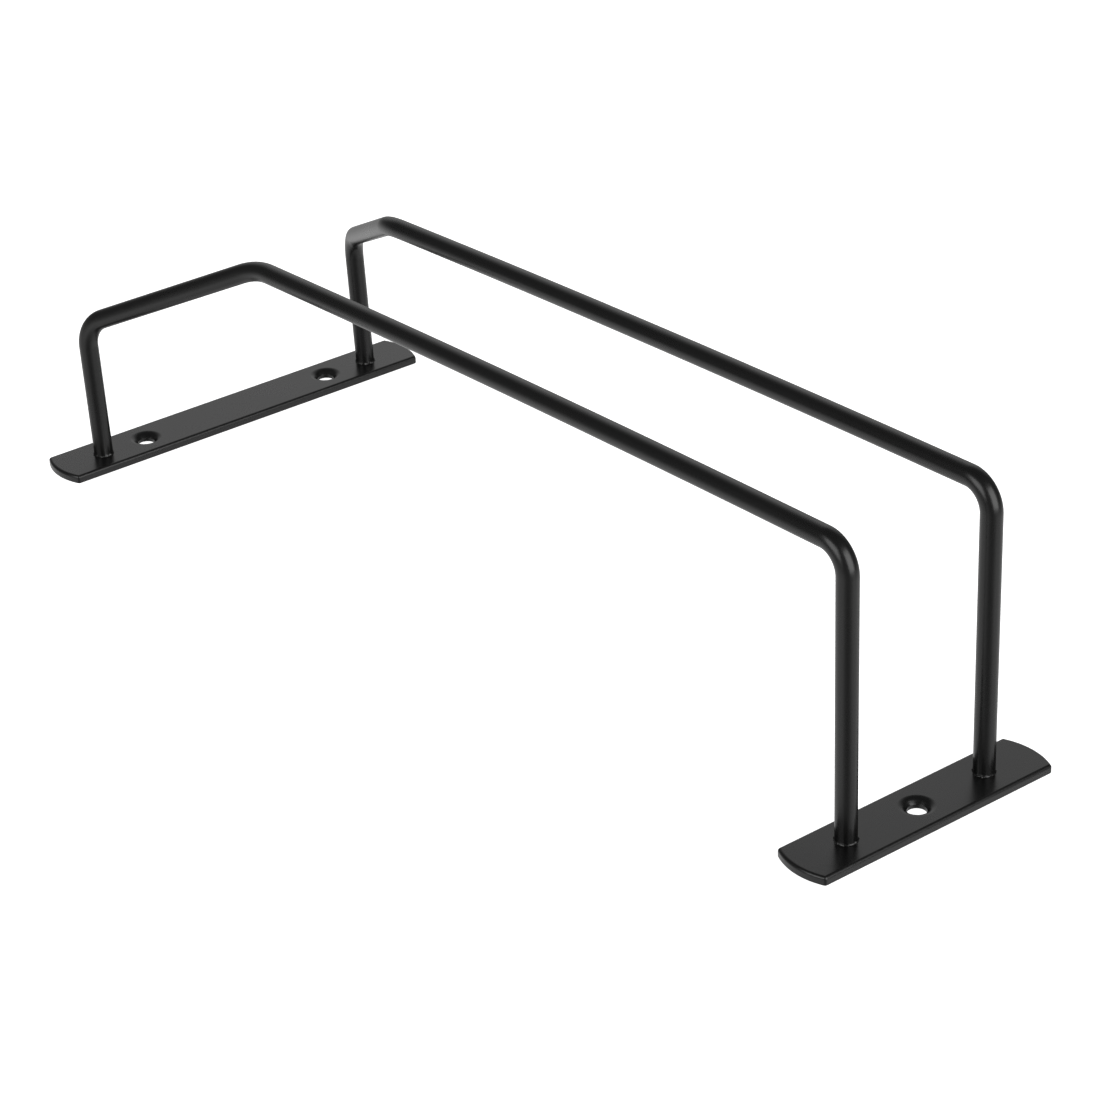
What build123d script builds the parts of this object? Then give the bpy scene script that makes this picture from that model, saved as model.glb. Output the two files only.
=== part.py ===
"""Wine glass rack: two bent wire rails welded onto two flat mounting plates.

Glass stems hang in the slot between the rails, and enter it at the flared mouth.
The rack stands on its plates here, upside down from the way it hangs under a shelf.
Millimetres, +Z up from the mounting plane, +X from the mouth towards the closed end.
The origin lies on the plates' undersides, midway between the plates and between the rails.
"""

import os
from math import radians, tan

from build123d import *

# Wire of the rails and flat bar of the plates
wire_diameter = 5.0
plate_width = 15.2
plate_thickness = 2.2

# Plan of the rack, all between centre lines
plate_pitch = 264.8
leg_inset = 0.3  # how far the feet stand inwards of the plates' centre lines
slot_spacing = 40.6
mouth_spacing = 84.4
flare_reach = 50.7  # how far the flare runs along X, from the end of the slot to the mouth legs' tops

# Corners of the rail's centre line, above the plates' undersides
end_corner_height = 72.2
slot_corner_height = 64.1
mouth_corner_height = 38.8
mouth_leg_lean = 3.0  # degrees, the mouth legs' tops leaning away from the closed end

# Bow of the long run between the closed end and the flare
run_camber = 0.9  # how far the middle of the run stands above a straight line
camber_share = 0.8  # share of the run's length that is bowed

# Bends, measured on the inside of the wire
end_bend_inside = 4.1
slot_bend_inside = 17.0
mouth_bend_inside = 6.7

# Plate outlines and edges
end_plate_overhang = 14.7  # from the leg to the tip of the plate
mouth_plate_overhang = 13.9
plate_tip_rise = 1.8  # height of the arc that closes each end of a plate
plate_corner_round = 0.8
plate_top_round = 0.75
plate_underside_round = 0.3

# Countersunk screw holes
screw_hole_diameter = 4.4
countersink_depth = 1.25
countersink_angle = 90.0
mouth_screw_inset = 13.2  # from each mouth leg to the screw hole beside it, towards the middle

# Weld bead round the foot of each leg
bead_width = 0.4
bead_height = 0.7
bead_chamfer = 0.3

# Places and sizes that follow from the values above
wire_radius = wire_diameter / 2
end_plate_x = plate_pitch / 2
mouth_plate_x = -plate_pitch / 2
end_leg_x = end_plate_x - leg_inset
mouth_leg_x = mouth_plate_x + leg_inset
slot_y = slot_spacing / 2
mouth_y = mouth_spacing / 2
bead_radius = wire_radius + bead_width
foot_trim = wire_diameter  # spare length below each foot, cut off flush with the plate
screw_hole_radius = screw_hole_diameter / 2
countersink_radius = screw_hole_radius + countersink_depth * tan(radians(countersink_angle / 2))
end_plate_length = slot_spacing + 2 * end_plate_overhang
mouth_plate_length = mouth_spacing + 2 * mouth_plate_overhang
mouth_screw_y = mouth_y - mouth_screw_inset


def lean_offset(height):
    """How far a mouth leg has moved away from the closed end at a height above the plate's top."""
    return tan(radians(mouth_leg_lean)) * (height - plate_thickness)


mouth_corner_x = mouth_leg_x - lean_offset(mouth_corner_height)
slot_corner_x = mouth_corner_x + flare_reach
half_run = (end_leg_x - slot_corner_x) / 2
camber_rise = run_camber / (1 - camber_share / 2)  # of the bow's corner above the straight line
camber_radius = camber_share * half_run**2 / camber_rise


def mounting_plate(centre_x, length, screw_places):
    """One flat bar with arc ends, rounded edges and countersunk holes at the given Y places."""
    half_width = plate_width / 2
    tip_y = length / 2
    corner_y = tip_y - plate_tip_rise
    with BuildPart() as plate:
        with BuildSketch(Plane((centre_x, 0, 0))) as outline:
            with BuildLine():
                Line((half_width, -corner_y), (half_width, corner_y))
                ThreePointArc((half_width, corner_y), (0, tip_y), (-half_width, corner_y))
                Line((-half_width, corner_y), (-half_width, -corner_y))
                ThreePointArc((-half_width, -corner_y), (0, -tip_y), (half_width, -corner_y))
            make_face()
            fillet(outline.vertices(), plate_corner_round)
        extrude(amount=plate_thickness)
        fillet(plate.faces().sort_by(Axis.Z)[-1].edges(), plate_top_round)
        fillet(plate.faces().sort_by(Axis.Z)[0].edges(), plate_underside_round)
        with Locations([(centre_x, y, plate_thickness) for y in screw_places]):
            CounterSinkHole(screw_hole_radius, countersink_radius, counter_sink_angle=countersink_angle)
    return plate


# Plates
end_plate = mounting_plate(end_plate_x, end_plate_length, [0])
mouth_plate = mounting_plate(mouth_plate_x, mouth_plate_length, [-mouth_screw_y, mouth_screw_y])

# Corners of the left rail's centre line, from the closed end to the mouth
rail_corners = [
    (end_leg_x, slot_y, plate_thickness - foot_trim),
    (end_leg_x, slot_y, end_corner_height),
    (slot_corner_x + half_run, slot_y, (end_corner_height + slot_corner_height) / 2 + camber_rise),
    (slot_corner_x, slot_y, slot_corner_height),
    (mouth_corner_x, mouth_y, mouth_corner_height),
    (mouth_leg_x - lean_offset(plate_thickness - foot_trim), mouth_y, plate_thickness - foot_trim),
]
bend_radii = [
    end_bend_inside + wire_radius,
    camber_radius,
    slot_bend_inside + wire_radius,
    mouth_bend_inside + wire_radius,
]

# Left rail: beads at the feet, then the bent wire, cut off flush with the plates' tops
with BuildPart() as left_rail:
    with Locations((end_leg_x, slot_y, plate_thickness), (mouth_leg_x, mouth_y, plate_thickness)):
        Cylinder(bead_radius, bead_height, align=(Align.CENTER, Align.CENTER, Align.MIN))
    chamfer(left_rail.edges().group_by(Axis.Z)[-1], bead_chamfer)
    with BuildLine() as centre_line:
        FilletPolyline(*rail_corners, radius=bend_radii)
    with BuildSketch(Plane(origin=centre_line.line @ 0, z_dir=centre_line.line % 0)):
        Circle(wire_radius)
    sweep()
    split(bisect_by=Plane.XY.offset(plate_thickness), keep=Keep.TOP)

# Right rail: the left one's mirror image
with BuildPart() as right_rail:
    mirror(left_rail.part, about=Plane.XZ)

# Labels and files
left_rail.part.label = "left_rail"
right_rail.part.label = "right_rail"
end_plate.part.label = "end_plate"
mouth_plate.part.label = "mouth_plate"

os.makedirs("parts", exist_ok=True)
export_step(left_rail.part, "parts/left_rail.step")
export_step(right_rail.part, "parts/right_rail.step")
export_step(end_plate.part, "parts/end_plate.step")
export_step(mouth_plate.part, "parts/mouth_plate.step")
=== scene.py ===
"""Wine glass rack of bent wire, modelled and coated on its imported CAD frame.

Two wire rails stand on two flat screw plates, all in satin black powder coat.
Lengths are in metres, in the frame's own axes: +X from the flared mouth towards the
closed end, +Y towards the left rail, +Z up from the plates' undersides.
"""

import math

import bmesh
import bpy
from bpy.props import FloatProperty, FloatVectorProperty, PointerProperty
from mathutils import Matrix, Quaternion, Vector


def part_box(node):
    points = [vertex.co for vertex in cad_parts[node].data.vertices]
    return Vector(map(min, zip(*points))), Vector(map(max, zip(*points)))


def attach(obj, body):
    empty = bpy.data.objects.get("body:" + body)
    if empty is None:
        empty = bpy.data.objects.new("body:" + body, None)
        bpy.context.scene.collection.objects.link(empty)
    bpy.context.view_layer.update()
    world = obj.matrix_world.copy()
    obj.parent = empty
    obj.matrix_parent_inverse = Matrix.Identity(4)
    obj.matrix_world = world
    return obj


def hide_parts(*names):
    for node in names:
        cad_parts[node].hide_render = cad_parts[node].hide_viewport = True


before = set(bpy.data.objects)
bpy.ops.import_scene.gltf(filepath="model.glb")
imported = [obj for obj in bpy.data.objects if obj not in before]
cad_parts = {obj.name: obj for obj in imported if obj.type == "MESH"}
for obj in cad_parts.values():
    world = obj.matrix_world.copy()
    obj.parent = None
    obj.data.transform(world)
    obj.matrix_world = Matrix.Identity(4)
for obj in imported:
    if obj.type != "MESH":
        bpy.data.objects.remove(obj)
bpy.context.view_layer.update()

bl_info = {
    "name": "Wine Glass Rack",
    "version": (1, 0, 0),
    "blender": (4, 5, 0),
    "location": "View3D > Sidebar > Rack",
    "description": "Models a bent wire rack for wine glasses on its CAD frame, coats it and lights it",
    "category": "Add Mesh",
}

MM = 0.001
BODY = "root"
PLATE_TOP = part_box("end_plate")[1].z

# Fineness of the meshes
WIRE_SIDES = 64
HOLE_SIDES = 64
RUN_STEP = 12 * MM  # between the rings of a straight run
BEND_STEP = math.radians(3)  # between the rings of a bend
WELD_RINGS = 6
TIP_STEPS = 16  # along the arc that closes each end of a plate
CORNER_STEPS = 6  # round each upright corner of a plate
TOP_ROUND_STEPS = 8
UNDERSIDE_ROUND_STEPS = 4
RIM_STEPS = 8
ROUND_PROFILE = 0.5  # makes a bevel's section a circular arc
SMOOTH_ANGLE = math.radians(40)  # edges that turn by more than this stay sharp

# Small lengths that the modelling needs
NEAR = 0.02 * MM  # how far an edge may lie from where it is looked for
MERGE = 0.001 * MM  # points that lie closer than this become one
START_SIZE = 1 * MM  # of the plane that is merged into the first point of an outline
SPARE = 1 * MM  # by which a cutter stands out of the plate
FOOT_SEAT = 0.3 * MM  # by which a weld reaches down into its plate, out of sight

# Seeds of the welds' unevenness, counted on from ring to ring
MOUTH_WELD_SEED = 0
END_WELD_SEED = MOUTH_WELD_SEED + WELD_RINGS

# Texture of the coat
FINE_DETAIL = 2.0  # of the noise behind the waves and the grain
DRIFT_DETAIL = 3.0  # of the noise behind the slow drift of tone
DRIFT_SCALE = 0.08  # of the drift, as a share of the waves' own scale
NOISE_MIDDLE = 0.5
PEEL_SHARE = 0.7  # of the waves in the relief
GRAIN_SHARE = 0.3  # of the grain in the relief

# Floor and camera
FLOOR_SIZE = 16.0
FLOOR_DROP = 0.2 * MM  # keeps the floor clear of the plates' undersides
FLOOR_ROUGHNESS = 0.9
CLIP_START = 0.01
CLIP_END = 100.0
WHITE = (1.0, 1.0, 1.0, 1.0)

# Soft boxes in degrees: turn from the camera's side, elevation, half width, half height and
# the full angle of the beam, which fades towards its edge where it is less than 180
BOX_DISTANCE = 1.6
RIGHT_BOX = (42, 23, 24, 25, 180)
LEFT_BOX = (-52, 25, 20, 17, 180)
BACK_BOX = (178, 27, 40, 25, 80)

# Where the room's brightness fades. The first two are heights of a direction, from -1 straight down
# to 1 straight up. The last is how well a direction agrees with the one to the floor by the camera.
BELOW = (-0.95, -0.5)
HORIZON = (-0.535, 0.11)
CAMERA_SIDE = (0.7, 1.06)


def length(name, description, default):
    """A length that the user can change, in metres."""
    return FloatProperty(
        name=name, description=description, default=default, min=0, precision=5, unit="LENGTH"
    )


def angle(name, description, degrees):
    """An angle that the user can change."""
    return FloatProperty(
        name=name, description=description, default=math.radians(degrees), subtype="ANGLE"
    )


def amount(name, description, default, highest=10.0):
    """A plain number that the user can change."""
    return FloatProperty(
        name=name, description=description, default=default, min=0, max=highest, precision=4
    )


def tint(name, description, default):
    """A colour that the user can change."""
    return FloatVectorProperty(
        name=name, description=description, default=default, min=0, max=1, subtype="COLOR"
    )


class RackSizes(bpy.types.PropertyGroup):
    """Sizes of the rails and plates."""

    wire_diameter: length("Wire Diameter", "Thickness of the coated wire", 5 * MM)
    slot_spacing: length("Slot Spacing", "Between the rails' centre lines along the slot", 40.6 * MM)
    mouth_spacing: length("Mouth Spacing", "Between the mouth legs' centre lines", 84.4 * MM)
    leg_inset: length("Leg Inset", "From the plates' centre lines inwards to the feet", 0.3 * MM)
    flare_reach: length("Flare Reach", "Length of the flare along the rack", 50.7 * MM)
    end_height: length("End Height", "Centre line's corner above the closed end's legs", 72.2 * MM)
    slot_height: length("Slot Height", "Centre line's corner where the flare starts", 64.1 * MM)
    mouth_height: length("Mouth Height", "Centre line's corner above the mouth legs", 38.8 * MM)
    mouth_lean: angle("Mouth Leg Lean", "Lean of the mouth legs away from the closed end", 3.0)
    run_camber: length("Run Camber", "Rise of the run's middle above a straight line", 0.9 * MM)
    camber_share: amount("Camber Share", "Share of the run's length that is bowed", 0.8, 1.0)
    end_bend: length("End Bend", "Inside radius of the bend at the closed end", 4.1 * MM)
    slot_bend: length("Slot Bend", "Inside radius of the bend where the flare starts", 17 * MM)
    mouth_bend: length("Mouth Bend", "Inside radius of the bend above the mouth legs", 6.7 * MM)
    weld_width: length("Weld Width", "Spread of the weld from the wire onto the plate", 0.28 * MM)
    weld_height: length("Weld Height", "Climb of the weld up the wire", 0.7 * MM)
    weld_lump: length("Weld Lump", "Unevenness of the weld", 0.12 * MM)
    tip_rise: length("Tip Rise", "Height of the arc that closes each end of a plate", 1.8 * MM)
    top_round: length("Top Round", "Radius along the plates' upper edges", 0.75 * MM)
    underside_round: length("Underside Round", "Radius along the plates' lower edges", 0.3 * MM)
    corner_round: length("Corner Round", "Radius of the plates' upright corners", 0.8 * MM)
    hole_diameter: length("Hole Diameter", "Screw holes in the plates", 4.4 * MM)
    countersink_depth: length("Countersink Depth", "Depth of the cone above a hole", 1.25 * MM)
    countersink_angle: angle("Countersink Angle", "Full angle of the cone", 90)
    rim_round: length("Rim Round", "Width of the rounding over a countersink's rim", 0.85 * MM)
    throat_round: length("Throat Round", "Width of the rounding at a hole's two ends", 0.06 * MM)
    screw_inset: length("Screw Inset", "From a mouth leg to the screw hole beside it", 13.2 * MM)


class CoatFinish(bpy.types.PropertyGroup):
    """Colour and texture of the powder coat."""

    colour: tint("Colour", "Colour of the coat", (0.004, 0.004, 0.004))
    colour_spread: amount("Colour Spread", "Share by which the colour drifts", 0.15)
    roughness: amount("Roughness", "Roughness of the satin surface", 0.28, 1.0)
    roughness_spread: amount("Roughness Spread", "Range over which the roughness drifts", 0.05, 1.0)
    gloss: amount("Gloss", "Strength of the reflections seen straight on", 0.5, 1.0)
    peel_size: length("Peel Size", "Width of the waves left by the flowing powder", 1.6 * MM)
    grain_size: length("Grain Size", "Width of the fine grain", 0.18 * MM)
    relief: length("Relief", "Height of the waves and grain", 0.006 * MM)


class StageSetup(bpy.types.PropertyGroup):
    """Camera, floor and lights."""

    camera_place: FloatVectorProperty(
        name="Camera Place", description="Where the camera stands",
        default=(0.561438, -0.417772, 0.389023), precision=5, subtype="TRANSLATION", unit="LENGTH",
    )
    camera_azimuth: angle("Camera Azimuth", "Direction of the view round the rack", 53.0726)
    camera_elevation: angle("Camera Elevation", "Slope of the view down to the rack", 28.3858)
    camera_roll: angle("Camera Roll", "Turn of the camera about its own view", -2.4266)
    camera_lens: FloatProperty(
        name="Camera Lens", description="Focal length", default=107.9936, min=1, unit="CAMERA"
    )
    floor_colour: tint("Floor Colour", "Colour of the light table", (0.8, 0.8, 0.8))
    floor_glow: amount("Floor Glow", "Light that the table gives off", 1.0)
    floor_shine: amount("Floor Shine", "Brightness of the floor as the coat mirrors it", 0.85)
    floor_shade: amount("Floor Shade", "Share by which it is darker straight below", 0.35, 1.0)
    camera_shade: amount("Camera Shade", "Share by which it is darker by the camera", 0.85, 1.0)
    backdrop: amount("Backdrop", "Brightness of the plain backdrop behind the floor", 1.0)
    room_light: amount("Room Light", "Brightness of the dim room above the floor", 0.13)
    right_light: amount("Right Light", "Brightness of the soft box right of the camera", 3.1)
    left_light: amount("Left Light", "Brightness of the soft box left of the camera", 2.7)
    back_light: amount("Back Light", "Brightness of the middle of the box behind the rack", 0.8)


def deselect_all():
    """Leaves object mode with nothing selected."""
    if bpy.context.object and bpy.context.object.mode != "OBJECT":
        bpy.ops.object.mode_set(mode="OBJECT")
    bpy.ops.object.select_all(action="DESELECT")


def edit_new(name):
    """Names the new primitive, moves its place into its mesh and opens it with all of it selected."""
    piece = bpy.context.object
    piece.name = piece.data.name = name
    bpy.ops.object.transform_apply(location=True, rotation=True, scale=True)
    bpy.ops.object.mode_set(mode="EDIT")
    bpy.ops.mesh.select_mode(type="VERT")
    bpy.ops.mesh.select_all(action="SELECT")
    return piece


def pick_edges(piece, wanted):
    """Selects the edges of which both ends pass the test, and no others."""
    bpy.ops.mesh.select_mode(type="EDGE")
    bpy.ops.mesh.select_all(action="DESELECT")
    mesh = bmesh.from_edit_mesh(piece.data)
    found = [edge for edge in mesh.edges if all(wanted(end.co) for end in edge.verts)]
    for edge in found:
        edge.select_set(True)
    bmesh.update_edit_mesh(piece.data)
    if not found:
        raise RuntimeError(f"{piece.name}: no edges found where they should be")


def pick_level(piece, height):
    """Selects the edges that lie level at a height."""
    pick_edges(piece, lambda point: abs(point.z - height) < NEAR)


def pick_ring(piece, centre, radius):
    """Selects the edges that lie on a level ring."""
    def on_ring(point):
        away = math.hypot(point.x - centre.x, point.y - centre.y)
        return abs(away - radius) < NEAR and abs(point.z - centre.z) < NEAR

    pick_edges(piece, on_ring)


def extrude(step):
    """Extrudes what is selected by a vector."""
    bpy.ops.mesh.extrude_region_move(TRANSFORM_OT_translate={"value": tuple(step)})


def spin(steps, turn, centre, axis):
    """Spins what is selected round an axis, by the right hand. The operator counts the other way."""
    bpy.ops.mesh.spin(steps=steps, angle=-turn, center=tuple(centre), axis=tuple(axis))


def scale_flat(factor, centre):
    """Scales what is selected in X and Y about a centre."""
    bpy.ops.transform.resize(value=(factor, factor, 1), center_override=tuple(centre))


def flatten(centre):
    """Presses what is selected level with a centre."""
    bpy.ops.transform.resize(value=(1, 1, 0), center_override=tuple(centre))


def bevel(width, steps):
    """Rounds the selected edges."""
    bpy.ops.mesh.bevel(
        offset=width, segments=steps, profile=ROUND_PROFILE, affect="EDGES", clamp_overlap=True
    )


def close_mesh():
    """Merges doubles, turns the faces outwards and leaves edit mode."""
    bpy.ops.mesh.select_all(action="SELECT")
    bpy.ops.mesh.remove_doubles(threshold=MERGE)
    bpy.ops.mesh.normals_make_consistent(inside=False)
    bpy.ops.object.mode_set(mode="OBJECT")


def place_piece(piece, node, material):
    """Coats a finished piece and lets it stand for its CAD node."""
    piece.data.materials.clear()
    piece.data.materials.append(material)
    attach(piece, BODY)
    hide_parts(node)


def plate_centre(node):
    """Middle of a plate's underside."""
    low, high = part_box(node)
    return Vector(((low.x + high.x) / 2, (low.y + high.y) / 2, low.z))


def camber_rise(sizes):
    """How far the corner of the bowed run stands above a straight line."""
    return sizes.run_camber / (1 - sizes.camber_share / 2)


def rail_corners(sizes):
    """Corners of the left rail's centre line, from the closed end's foot to the mouth's."""
    end_x = plate_centre("end_plate").x - sizes.leg_inset
    mouth_x = plate_centre("mouth_plate").x + sizes.leg_inset
    slot_y, mouth_y = sizes.slot_spacing / 2, sizes.mouth_spacing / 2
    lean = math.tan(sizes.mouth_lean) * (sizes.mouth_height - PLATE_TOP)
    end_corner = Vector((end_x, slot_y, sizes.end_height))
    slot_corner = Vector((mouth_x - lean + sizes.flare_reach, slot_y, sizes.slot_height))
    return [
        Vector((end_x, slot_y, PLATE_TOP)),
        end_corner,
        (end_corner + slot_corner) / 2 + Vector((0, 0, camber_rise(sizes))),
        slot_corner,
        Vector((mouth_x - lean, mouth_y, sizes.mouth_height)),
        Vector((mouth_x, mouth_y, PLATE_TOP)),
    ]


def bend_radii(corners, sizes):
    """Radii of the rail's centre line at its inner corners, in the same order."""
    half_run = (corners[1].x - corners[3].x) / 2
    wire_radius = sizes.wire_diameter / 2
    return (
        sizes.end_bend + wire_radius,
        sizes.camber_share * half_run ** 2 / camber_rise(sizes),
        sizes.slot_bend + wire_radius,
        sizes.mouth_bend + wire_radius,
    )


def draw_wire(start, end):
    """Extrudes the selected ring along a straight run, in even steps."""
    run = end - start
    count = max(1, round(run.length / RUN_STEP))
    for _ in range(count):
        extrude(run / count)


def bend_wire(start, heading, next_heading, radius):
    """Spins the selected ring round a bend and returns where the centre line leaves it."""
    turn = heading.angle(next_heading)
    axis = heading.cross(next_heading).normalized()
    centre = start + axis.cross(heading) * radius
    steps = max(2, round(turn / BEND_STEP), round(turn * radius / RUN_STEP))
    spin(steps, turn, centre, axis)
    return centre + Quaternion(axis, turn) @ (start - centre)


def weld_foot(ring_centre, downwards, first_seed, sizes):
    """Flares the selected foot ring into a hollow weld on the plate, and closes it below."""
    wire_radius = sizes.wire_diameter / 2
    centre, radius, dropped = ring_centre.copy(), wire_radius, 0.0
    for ring in range(1, WELD_RINGS + 1):
        swing = math.pi / 2 * ring / WELD_RINGS
        spread = wire_radius + sizes.weld_width * (1 - math.cos(swing))
        drop = sizes.weld_height * math.sin(swing)
        step = downwards * ((drop - dropped) / -downwards.z)
        extrude(step)
        centre += step
        scale_flat(spread / radius, centre)
        radius, dropped = spread, drop
        if ring < WELD_RINGS:
            bpy.ops.transform.vertex_random(offset=sizes.weld_lump, seed=first_seed + ring)
    flatten(centre)
    extrude((0, 0, -FOOT_SEAT))
    bpy.ops.mesh.edge_face_add()


def bend_rail(name, sizes):
    """The left rail: its wire, bent from the closed end to the mouth, with a weld at each foot."""
    corners = rail_corners(sizes)
    headings = [(after - before).normalized() for before, after in zip(corners, corners[1:])]
    wire_radius = sizes.wire_diameter / 2
    end_foot = corners[0] + headings[0] * sizes.weld_height
    mouth_foot = corners[-1] + headings[-1] * (sizes.weld_height / headings[-1].z)

    deselect_all()
    bpy.ops.mesh.primitive_circle_add(
        vertices=WIRE_SIDES, radius=wire_radius, fill_type="NOTHING", location=end_foot
    )
    rail = edit_new(name)
    tip = end_foot
    bends = zip(corners[1:], headings, headings[1:], bend_radii(corners, sizes))
    for corner, heading, next_heading, radius in bends:
        bend_start = corner - heading * radius * math.tan(heading.angle(next_heading) / 2)
        draw_wire(tip, bend_start)
        tip = bend_wire(bend_start, heading, next_heading, radius)
    draw_wire(tip, mouth_foot)
    flatten(mouth_foot)
    weld_foot(mouth_foot, headings[-1], MOUTH_WELD_SEED, sizes)
    pick_ring(rail, end_foot, wire_radius)
    weld_foot(end_foot, -headings[0], END_WELD_SEED, sizes)
    close_mesh()
    bpy.ops.object.shade_smooth_by_angle(angle=SMOOTH_ANGLE)
    return rail


def mirror_rail(name):
    """Copies the selected rail and makes the copy its mirror image."""
    bpy.ops.object.duplicate(linked=False)
    copy = bpy.context.object
    copy.name = copy.data.name = name
    copy.scale.y = -1
    bpy.ops.object.transform_apply(location=False, rotation=False, scale=True)
    bpy.ops.object.mode_set(mode="EDIT")
    close_mesh()
    return copy


class RACK_OT_rails(bpy.types.Operator):
    """Bend the wire of the left rail, weld its feet and mirror it for the right one"""

    bl_idname = "rack.rails"
    bl_label = "Model Rails"

    def execute(self, context):
        sizes, finish = context.scene.rack_sizes, context.scene.rack_coat
        left = bend_rail("rail_left", sizes)
        right = mirror_rail("rail_right")
        for rail, node in ((left, "left_rail"), (right, "right_rail")):
            place_piece(rail, node, coat_material("rail_coat", finish))
        return {"FINISHED"}


def cut_screw_hole(plate, place, sizes):
    """Cuts one countersunk hole down through a plate and rounds its rims."""
    hole_radius = sizes.hole_diameter / 2
    slope = math.tan(sizes.countersink_angle / 2)
    rim_radius = hole_radius + sizes.countersink_depth * slope
    throat_z = PLATE_TOP - sizes.countersink_depth

    deselect_all()
    bpy.ops.mesh.primitive_circle_add(
        vertices=HOLE_SIDES, radius=hole_radius, fill_type="NGON", location=(place.x, place.y, -SPARE)
    )
    cutter = edit_new("countersink_cutter")
    extrude((0, 0, throat_z + SPARE))
    extrude((0, 0, sizes.countersink_depth + SPARE))
    cutter_top = (place.x, place.y, PLATE_TOP + SPARE)
    scale_flat((rim_radius + SPARE * slope) / hole_radius, cutter_top)
    close_mesh()

    deselect_all()
    plate.select_set(True)
    bpy.context.view_layer.objects.active = plate
    cut = plate.modifiers.new("screw_hole", "BOOLEAN")
    cut.operation = "DIFFERENCE"
    cut.solver = "EXACT"
    cut.object = cutter
    bpy.ops.object.modifier_apply(modifier=cut.name)
    bpy.data.objects.remove(cutter)

    bpy.ops.object.mode_set(mode="EDIT")
    for radius, height, width in (
        (rim_radius, PLATE_TOP, sizes.rim_round),
        (hole_radius, throat_z, sizes.throat_round),
        (hole_radius, 0.0, sizes.throat_round),
    ):
        pick_ring(plate, Vector((place.x, place.y, height)), radius)
        bevel(width, RIM_STEPS)
    bpy.ops.object.mode_set(mode="OBJECT")


def draw_outline(name, centre, half_width, half_length, sizes):
    """A plate's flat outline, with arc ends and round corners, filled and left open for editing."""
    tip_radius = (half_width ** 2 + sizes.tip_rise ** 2) / (2 * sizes.tip_rise)
    arc_y = half_length - tip_radius
    corner_x = half_width - sizes.corner_round
    corner_y = arc_y + math.sqrt((tip_radius - sizes.corner_round) ** 2 - corner_x ** 2)
    half_tip = math.atan2(corner_x, corner_y - arc_y)
    corner_turn = math.pi / 2 - half_tip
    upwards = (0, 0, 1)

    deselect_all()
    bpy.ops.mesh.primitive_plane_add(
        size=START_SIZE, location=centre + Vector((half_width, corner_y, 0))
    )
    plate = edit_new(name)
    bpy.ops.mesh.merge(type="CENTER")
    bpy.ops.mesh.select_all(action="SELECT")
    for side in (1, -1):
        spin(CORNER_STEPS, corner_turn, centre + Vector((corner_x, corner_y, 0)) * side, upwards)
        spin(TIP_STEPS, 2 * half_tip, centre + Vector((0, arc_y, 0)) * side, upwards)
        spin(CORNER_STEPS, corner_turn, centre + Vector((-corner_x, corner_y, 0)) * side, upwards)
        if side > 0:
            extrude((0, -2 * corner_y, 0))
    bpy.ops.mesh.select_all(action="SELECT")
    bpy.ops.mesh.edge_face_add()
    return plate


def shape_plate(name, node, screw_places, sizes):
    """One flat bar with arc ends, rounded edges and countersunk holes."""
    low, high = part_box(node)
    centre = plate_centre(node)
    plate = draw_outline(name, centre, (high.x - low.x) / 2, (high.y - low.y) / 2, sizes)
    extrude((0, 0, high.z - low.z))
    bpy.ops.mesh.select_all(action="SELECT")
    bpy.ops.mesh.normals_make_consistent(inside=False)
    pick_level(plate, high.z)
    bevel(sizes.top_round, TOP_ROUND_STEPS)
    pick_level(plate, low.z)
    bevel(sizes.underside_round, UNDERSIDE_ROUND_STEPS)
    close_mesh()

    for screw_y in screw_places:
        cut_screw_hole(plate, centre + Vector((0, screw_y, 0)), sizes)
    bpy.ops.object.mode_set(mode="EDIT")
    close_mesh()
    bpy.ops.object.shade_smooth_by_angle(angle=SMOOTH_ANGLE)
    even = plate.modifiers.new("even_shading", "WEIGHTED_NORMAL")
    even.keep_sharp = True
    bpy.ops.object.modifier_apply(modifier=even.name)
    return plate


class RACK_OT_plates(bpy.types.Operator):
    """Shape the two screw plates and cut their countersunk holes"""

    bl_idname = "rack.plates"
    bl_label = "Model Plates"

    def execute(self, context):
        sizes, finish = context.scene.rack_sizes, context.scene.rack_coat
        screw_y = sizes.mouth_spacing / 2 - sizes.screw_inset
        for name, node, places in (
            ("plate_end", "end_plate", (0.0,)),
            ("plate_mouth", "mouth_plate", (-screw_y, screw_y)),
        ):
            plate = shape_plate(name, node, places, sizes)
            place_piece(plate, node, coat_material("plate_coat", finish))
        return {"FINISHED"}


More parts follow.
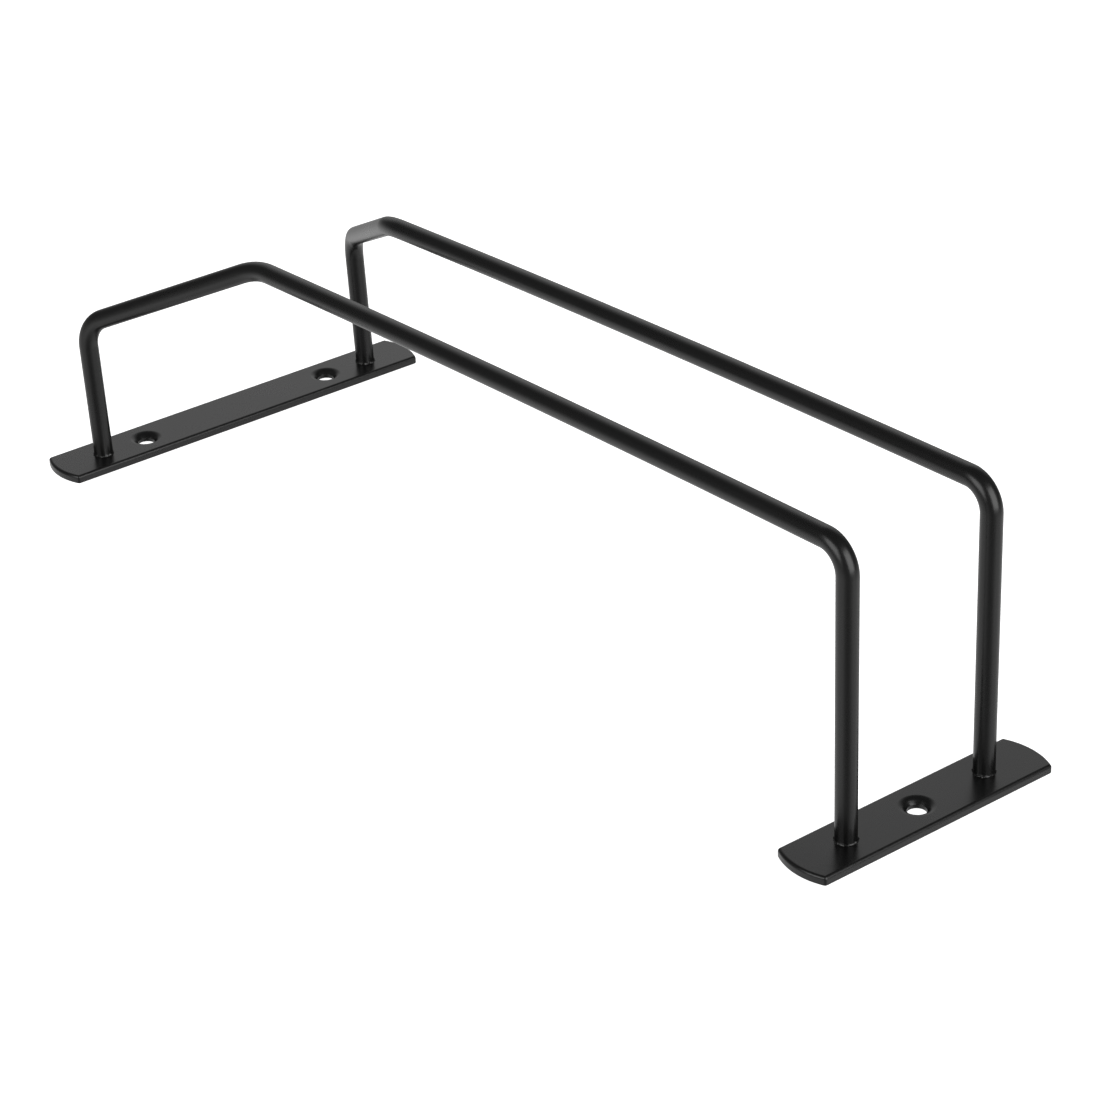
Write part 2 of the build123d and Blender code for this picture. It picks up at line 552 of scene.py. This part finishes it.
def coat_texture():
    """Node group for the coat: slow drift of tone, waves from the flowing powder, and fine grain."""
    group = bpy.data.node_groups.get("coat_texture")
    if group:
        return group
    group = bpy.data.node_groups.new("coat_texture", "ShaderNodeTree")
    for socket, kind in (
        ("Coordinates", "NodeSocketVector"),
        ("Colour", "NodeSocketColor"),
        ("Colour Spread", "NodeSocketFloat"),
        ("Roughness", "NodeSocketFloat"),
        ("Roughness Spread", "NodeSocketFloat"),
        ("Peel Scale", "NodeSocketFloat"),
        ("Grain Scale", "NodeSocketFloat"),
    ):
        group.interface.new_socket(socket, in_out="INPUT", socket_type=kind)
    for socket, kind in (
        ("Colour", "NodeSocketColor"),
        ("Roughness", "NodeSocketFloat"),
        ("Height", "NodeSocketFloat"),
    ):
        group.interface.new_socket(socket, in_out="OUTPUT", socket_type=kind)
    nodes, links = group.nodes, group.links
    given, made = nodes.new("NodeGroupInput").outputs, nodes.new("NodeGroupOutput").inputs

    def noise(scale, detail):
        node = nodes.new("ShaderNodeTexNoise")
        node.inputs["Detail"].default_value = detail
        links.new(given["Coordinates"], node.inputs["Vector"])
        links.new(scale, node.inputs["Scale"])
        return node.outputs["Fac"]

    def combine(kind, first, second):
        node = nodes.new("ShaderNodeMath")
        node.operation = kind
        for socket, value in zip(node.inputs, (first, second)):
            if isinstance(value, float):
                socket.default_value = value
            else:
                links.new(value, socket)
        return node.outputs[0]

    peel = noise(given["Peel Scale"], FINE_DETAIL)
    grain = noise(given["Grain Scale"], FINE_DETAIL)
    drift = noise(combine("MULTIPLY", given["Peel Scale"], DRIFT_SCALE), DRIFT_DETAIL)
    grain_swing = combine("SUBTRACT", grain, NOISE_MIDDLE)
    drift_swing = combine("SUBTRACT", drift, NOISE_MIDDLE)

    full_swing = combine("DIVIDE", drift_swing, NOISE_MIDDLE)
    tone = combine("ADD", combine("MULTIPLY", full_swing, given["Colour Spread"]), 1.0)
    shade = nodes.new("ShaderNodeVectorMath")
    shade.operation = "SCALE"
    links.new(given["Colour"], shade.inputs[0])
    links.new(tone, shade.inputs["Scale"])
    links.new(shade.outputs[0], made["Colour"])

    swings = combine("ADD", drift_swing, grain_swing)
    unevenness = combine("MULTIPLY", swings, given["Roughness Spread"])
    links.new(combine("ADD", unevenness, given["Roughness"]), made["Roughness"])

    waves = combine("MULTIPLY", peel, PEEL_SHARE)
    links.new(combine("ADD", waves, combine("MULTIPLY", grain, GRAIN_SHARE)), made["Height"])
    return group


def coat_material(name, finish):
    """Satin black powder coat."""
    material = bpy.data.materials.get(name)
    if material:
        return material
    material = bpy.data.materials.new(name)
    material.use_nodes = True
    nodes, links = material.node_tree.nodes, material.node_tree.links
    shader = nodes["Principled BSDF"]
    shader.inputs["Specular IOR Level"].default_value = finish.gloss
    place = nodes.new("ShaderNodeTexCoord")
    texture = nodes.new("ShaderNodeGroup")
    texture.node_tree = coat_texture()
    for socket, value in (
        ("Colour", (*finish.colour, 1.0)),
        ("Colour Spread", finish.colour_spread),
        ("Roughness", finish.roughness),
        ("Roughness Spread", finish.roughness_spread),
        ("Peel Scale", 1 / finish.peel_size),
        ("Grain Scale", 1 / finish.grain_size),
    ):
        texture.inputs[socket].default_value = value
    bump = nodes.new("ShaderNodeBump")
    bump.inputs["Strength"].default_value = 1.0
    bump.inputs["Distance"].default_value = finish.relief
    links.new(place.outputs["Object"], texture.inputs["Coordinates"])
    links.new(texture.outputs["Colour"], shader.inputs["Base Color"])
    links.new(texture.outputs["Roughness"], shader.inputs["Roughness"])
    links.new(texture.outputs["Height"], bump.inputs["Height"])
    links.new(bump.outputs["Normal"], shader.inputs["Normal"])
    return material


def direction_to(azimuth, elevation):
    """Direction from the rack to what is seen from it at an azimuth and elevation."""
    return Vector((
        math.sin(azimuth) * math.cos(elevation),
        -math.cos(azimuth) * math.cos(elevation),
        math.sin(elevation),
    ))


def lay_floor(stage):
    """A pale floor that glows. The coat's reflections don't see it, and see the room's gradient."""
    bpy.ops.mesh.primitive_plane_add(size=FLOOR_SIZE, location=(0, 0, -FLOOR_DROP))
    floor = bpy.context.object
    floor.name = floor.data.name = "light_table"
    surface = bpy.data.materials.new("light_table")
    surface.use_nodes = True
    shader = surface.node_tree.nodes["Principled BSDF"]
    shader.inputs["Base Color"].default_value = (*stage.floor_colour, 1.0)
    shader.inputs["Roughness"].default_value = FLOOR_ROUGHNESS
    shader.inputs["Emission Color"].default_value = WHITE
    shader.inputs["Emission Strength"].default_value = stage.floor_glow
    floor.data.materials.append(surface)
    floor.visible_glossy = False


def soft_box(name, azimuth, elevation, half_width, half_height, beam, brightness):
    """A soft light given by angles from the rack: its direction, its reach each way and its beam."""
    direction = direction_to(azimuth, elevation)
    bpy.ops.object.light_add(type="AREA", location=direction * BOX_DISTANCE)
    light = bpy.context.object
    light.name = light.data.name = name
    light.data.shape = "RECTANGLE"
    light.data.size = 2 * BOX_DISTANCE * math.tan(half_width)
    light.data.size_y = 2 * BOX_DISTANCE * math.tan(half_height)
    light.data.spread = beam
    fullness = 1 - beam / 2 / math.tan(beam / 2)
    light.data.energy = brightness * math.pi * light.data.size * light.data.size_y * fullness
    light.rotation_mode = "QUATERNION"
    light.rotation_quaternion = (-direction).to_track_quat("-Z", "Y")
    light.visible_camera = False


def hang_lights(stage):
    """Three soft boxes round the rack, placed by their turn from the camera's side."""
    for name, (turn, *angles), brightness in (
        ("right_light", RIGHT_BOX, stage.right_light),
        ("left_light", LEFT_BOX, stage.left_light),
        ("back_light", BACK_BOX, stage.back_light),
    ):
        azimuth = stage.camera_azimuth + math.radians(turn)
        soft_box(name, azimuth, *map(math.radians, angles), brightness)


def room_world(stage):
    """A room that is bright below, as over a pale floor, and dim above.

    It is darker straight below the rack, and dark where the floor lies towards the camera.
    The view itself shows a plain pale backdrop in its place, which runs into the floor.
    """
    world = bpy.data.worlds.new("room")
    world.use_nodes = True
    nodes, links = world.node_tree.nodes, world.node_tree.links
    direction = nodes.new("ShaderNodeTexCoord").outputs["Generated"]

    def fade(value, low, high, at_low, at_high):
        node = nodes.new("ShaderNodeMapRange")
        node.interpolation_type = "SMOOTHSTEP"
        links.new(value, node.inputs["Value"])
        node.inputs["From Min"].default_value = low
        node.inputs["From Max"].default_value = high
        node.inputs["To Min"].default_value = at_low
        node.inputs["To Max"].default_value = at_high
        return node.outputs["Result"]

    height = nodes.new("ShaderNodeSeparateXYZ")
    links.new(direction, height.inputs[0])
    towards = nodes.new("ShaderNodeVectorMath")
    towards.operation = "DOT_PRODUCT"
    links.new(direction, towards.inputs[0])
    towards.inputs[1].default_value = direction_to(stage.camera_azimuth, -stage.camera_elevation)
    brightness = fade(height.outputs["Z"], *HORIZON, stage.floor_shine, stage.room_light)
    for share in (
        fade(height.outputs["Z"], *BELOW, 1 - stage.floor_shade, 1.0),
        fade(towards.outputs["Value"], *CAMERA_SIDE, 1.0, 1 - stage.camera_shade),
    ):
        product = nodes.new("ShaderNodeMath")
        product.operation = "MULTIPLY"
        links.new(brightness, product.inputs[0])
        links.new(share, product.inputs[1])
        brightness = product.outputs[0]
    shown = nodes.new("ShaderNodeMix")
    links.new(nodes.new("ShaderNodeLightPath").outputs["Is Camera Ray"], shown.inputs["Factor"])
    links.new(brightness, shown.inputs["A"])
    shown.inputs["B"].default_value = stage.backdrop
    links.new(shown.outputs["Result"], nodes["Background"].inputs["Strength"])
    nodes["Background"].inputs["Color"].default_value = WHITE
    return world


def set_camera(stage):
    """A camera at the photo's viewing angle."""
    bpy.ops.object.camera_add(location=stage.camera_place)
    camera = bpy.context.object
    camera.name = camera.data.name = "camera"
    camera.data.lens = stage.camera_lens
    camera.data.clip_start = CLIP_START
    camera.data.clip_end = CLIP_END
    view = -direction_to(stage.camera_azimuth, stage.camera_elevation)
    roll = Quaternion((0, 0, 1), stage.camera_roll)
    camera.rotation_mode = "QUATERNION"
    camera.rotation_quaternion = view.to_track_quat("-Z", "Y") @ roll
    return camera


class RACK_OT_stage(bpy.types.Operator):
    """Set the camera, the light table and the soft lights"""

    bl_idname = "rack.stage"
    bl_label = "Set Stage"

    def execute(self, context):
        scene, stage = context.scene, context.scene.rack_stage
        deselect_all()
        lay_floor(stage)
        hang_lights(stage)
        scene.world = room_world(stage)
        scene.camera = set_camera(stage)
        scene.view_settings.view_transform = "Standard"
        return {"FINISHED"}


class RACK_PT_panel(bpy.types.Panel):
    """Sizes, finish and stage of the rack, with the steps that make it"""

    bl_idname = "RACK_PT_panel"
    bl_label = "Wine Glass Rack"
    bl_space_type = "VIEW_3D"
    bl_region_type = "UI"
    bl_category = "Rack"

    def draw(self, context):
        scene = context.scene
        for group, steps in (
            (scene.rack_sizes, (RACK_OT_rails, RACK_OT_plates)),
            (scene.rack_coat, ()),
            (scene.rack_stage, (RACK_OT_stage,)),
        ):
            box = self.layout.box()
            for name in group.bl_rna.properties.keys():
                if name not in ("rna_type", "name"):
                    box.prop(group, name)
            for step in steps:
                box.operator(step.bl_idname)


CLASSES = (
    RackSizes,
    CoatFinish,
    StageSetup,
    RACK_OT_rails,
    RACK_OT_plates,
    RACK_OT_stage,
    RACK_PT_panel,
)


def register():
    """Adds the classes, and the rack's settings to the scene."""
    for item in CLASSES:
        bpy.utils.register_class(item)
    bpy.types.Scene.rack_sizes = PointerProperty(type=RackSizes)
    bpy.types.Scene.rack_coat = PointerProperty(type=CoatFinish)
    bpy.types.Scene.rack_stage = PointerProperty(type=StageSetup)


def unregister():
    """Takes the settings and the classes away again."""
    del bpy.types.Scene.rack_sizes, bpy.types.Scene.rack_coat, bpy.types.Scene.rack_stage
    for item in reversed(CLASSES):
        bpy.utils.unregister_class(item)


def main():
    """Builds the whole rack and its stage."""
    register()
    bpy.ops.rack.rails()
    bpy.ops.rack.plates()
    bpy.ops.rack.stage()


if __name__ == "__main__":
    main()
